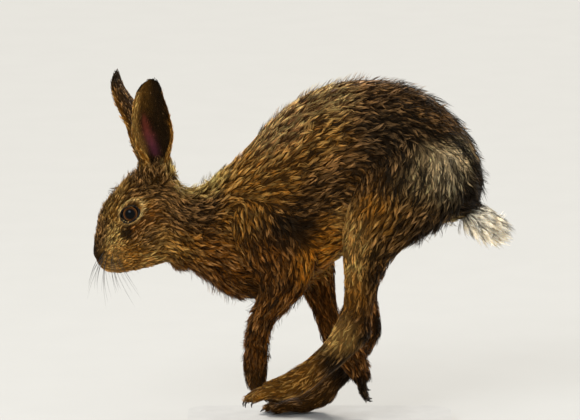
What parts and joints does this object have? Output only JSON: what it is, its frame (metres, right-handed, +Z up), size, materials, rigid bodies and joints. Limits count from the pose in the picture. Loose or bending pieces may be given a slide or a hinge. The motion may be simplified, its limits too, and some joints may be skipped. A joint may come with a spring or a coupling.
{
  "type": "brown hare model",
  "caption": "Life-size still model of a running brown hare with long black-tipped ears, arched back and short tail, standing by one hind foot on a plain rounded base plate.",
  "frame": {"origin": "centre of the underside of the base plate, on the floor", "axes": "+Z up; the hare faces -X along the plate, and its left side faces -Y"},
  "size_m": [0.4385, 0.156, 0.3831],
  "materials": {
    "coat_head": "short speckled fur, wet, golden brown with a pale eye ring",
    "coat_flank": "short wet fur, warm orange brown with dark tips",
    "coat_back": "short wet fur, dark brown with light tips",
    "coat_rump": "short wet fur, grey buff with black strokes",
    "coat_leg": "short wet fur, ochre brown, paler in front",
    "ear_coat": "very short fur, speckled back, black tip, bare pink in the cup",
    "tail_fur": "longer soft fur, black above and white below",
    "bare_skin": "dark moist skin of the lids and nostrils",
    "eye": "glossy, amber brown iris and wide black pupil",
    "claw": "dark horn, slightly glossy",
    "plate": "matte pale grey paint"
  },
  "bodies": {
    "root": {"head": "coat_head", "neck": "coat_flank", "chest": "coat_flank", "loin": "coat_back", "rump": "coat_rump", "tail": "tail_fur", "ear_left": "ear_coat", "ear_right": "ear_coat", "eye_left": "eye", "eye_right": "eye", "upper_arm_left": "coat_leg", "forearm_left": "coat_leg", "forepaw_left": "coat_leg", "upper_arm_right": "coat_leg", "forearm_right": "coat_leg", "forepaw_right": "coat_leg", "thigh_left": "coat_leg", "shank_left": "coat_leg", "hind_foot_left": "coat_leg", "thigh_right": "coat_leg", "shank_right": "coat_leg", "hind_foot_right": "coat_leg", "claw_fore_left_1": "claw", "claw_fore_left_2": "claw", "claw_fore_left_3": "claw", "claw_fore_left_4": "claw", "claw_fore_left_5": "claw", "claw_fore_right_1": "claw", "claw_fore_right_2": "claw", "claw_fore_right_3": "claw", "claw_fore_right_4": "claw", "claw_fore_right_5": "claw", "claw_hind_left_1": "claw", "claw_hind_left_2": "claw", "claw_hind_left_3": "claw", "claw_hind_left_4": "claw", "claw_hind_right_1": "claw", "claw_hind_right_2": "claw", "claw_hind_right_3": "claw", "claw_hind_right_4": "claw", "stand_base": "plate"}
  },
  "joints": []
}
